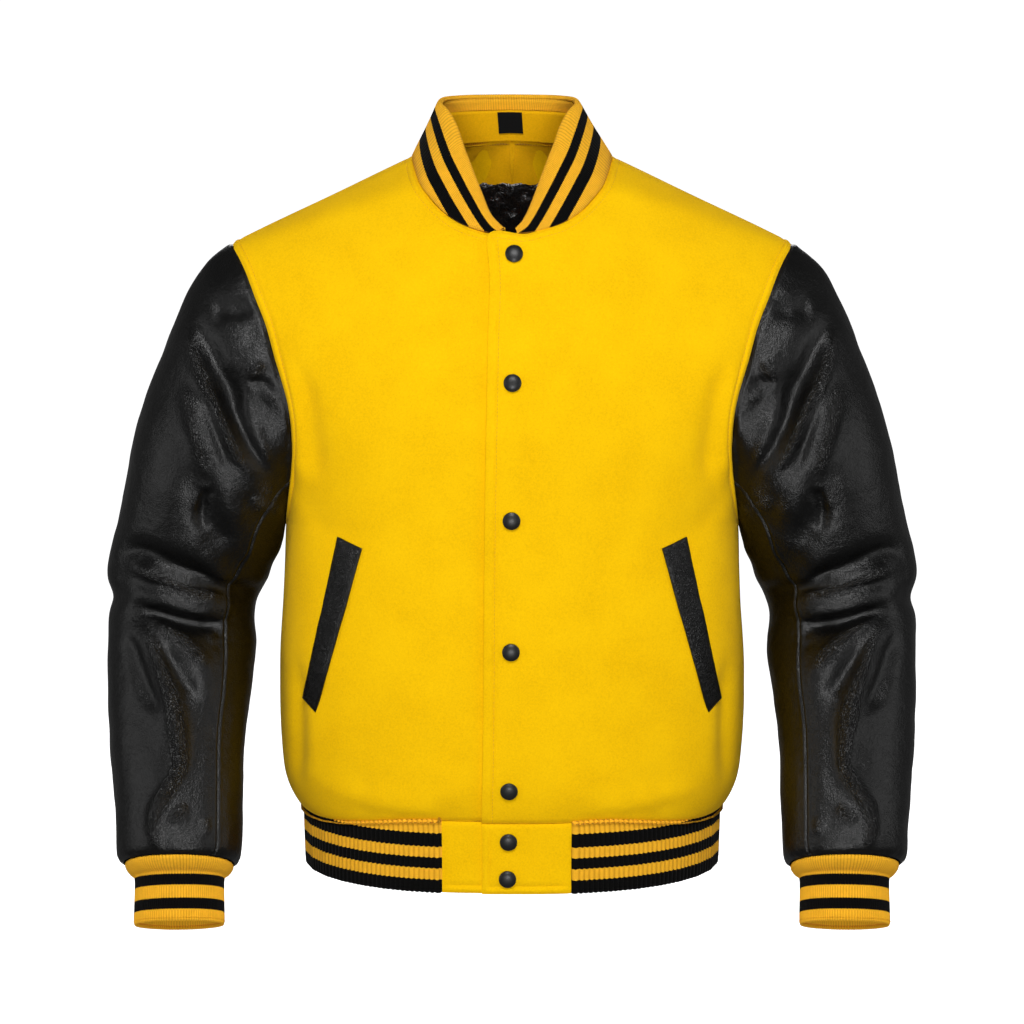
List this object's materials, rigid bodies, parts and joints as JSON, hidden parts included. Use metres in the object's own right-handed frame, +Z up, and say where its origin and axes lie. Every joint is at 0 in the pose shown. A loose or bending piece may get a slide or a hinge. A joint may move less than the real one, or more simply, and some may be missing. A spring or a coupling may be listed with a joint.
{
  "type": "varsity jacket",
  "caption": "Wool varsity jacket in worn, filled-out form, with leather sleeves, striped rib-knit collar, cuffs and waistband, slanted welt pockets and a snap front.",
  "frame": {"origin": "middle of the neck base, at the height of the shoulder seams' neck ends, where the wearer's shoulders and neck carry the jacket", "axes": "+Z up, the front faces -Y, +X is the wearer's left"},
  "size_m": [0.7292, 0.2754, 0.7264],
  "materials": {
    "wool_body": "brushed wool melton, matt, slightly napped",
    "wool_facing": "brushed wool melton, matt",
    "leather": "grained black leather, semi-gloss",
    "rib_knit": "rib knit in golden yellow with black stripes",
    "lining": "quilted satin, glossy",
    "label": "woven, plain",
    "snap_cap": "smooth gloss enamel on a domed cap"
  },
  "bodies": {
    "root": {"front_left": "wool_body", "front_right": "wool_body", "back": "wool_body", "hem_tab_left": "wool_body", "hem_tab_right": "wool_body", "back_neck_facing": "wool_facing", "collar_band": "wool_facing", "sleeve_top_left": "leather", "sleeve_under_left": "leather", "sleeve_top_right": "leather", "sleeve_under_right": "leather", "pocket_welt_left": "leather", "pocket_welt_right": "leather", "collar_rib": "rib_knit", "hem_rib": "rib_knit", "cuff_left": "rib_knit", "cuff_right": "rib_knit", "lining_back": "lining", "neck_label": "label", "snap_1": "snap_cap", "snap_2": "snap_cap", "snap_3": "snap_cap", "snap_4": "snap_cap", "snap_5": "snap_cap", "snap_6": "snap_cap", "snap_7": "snap_cap"}
  },
  "joints": []
}
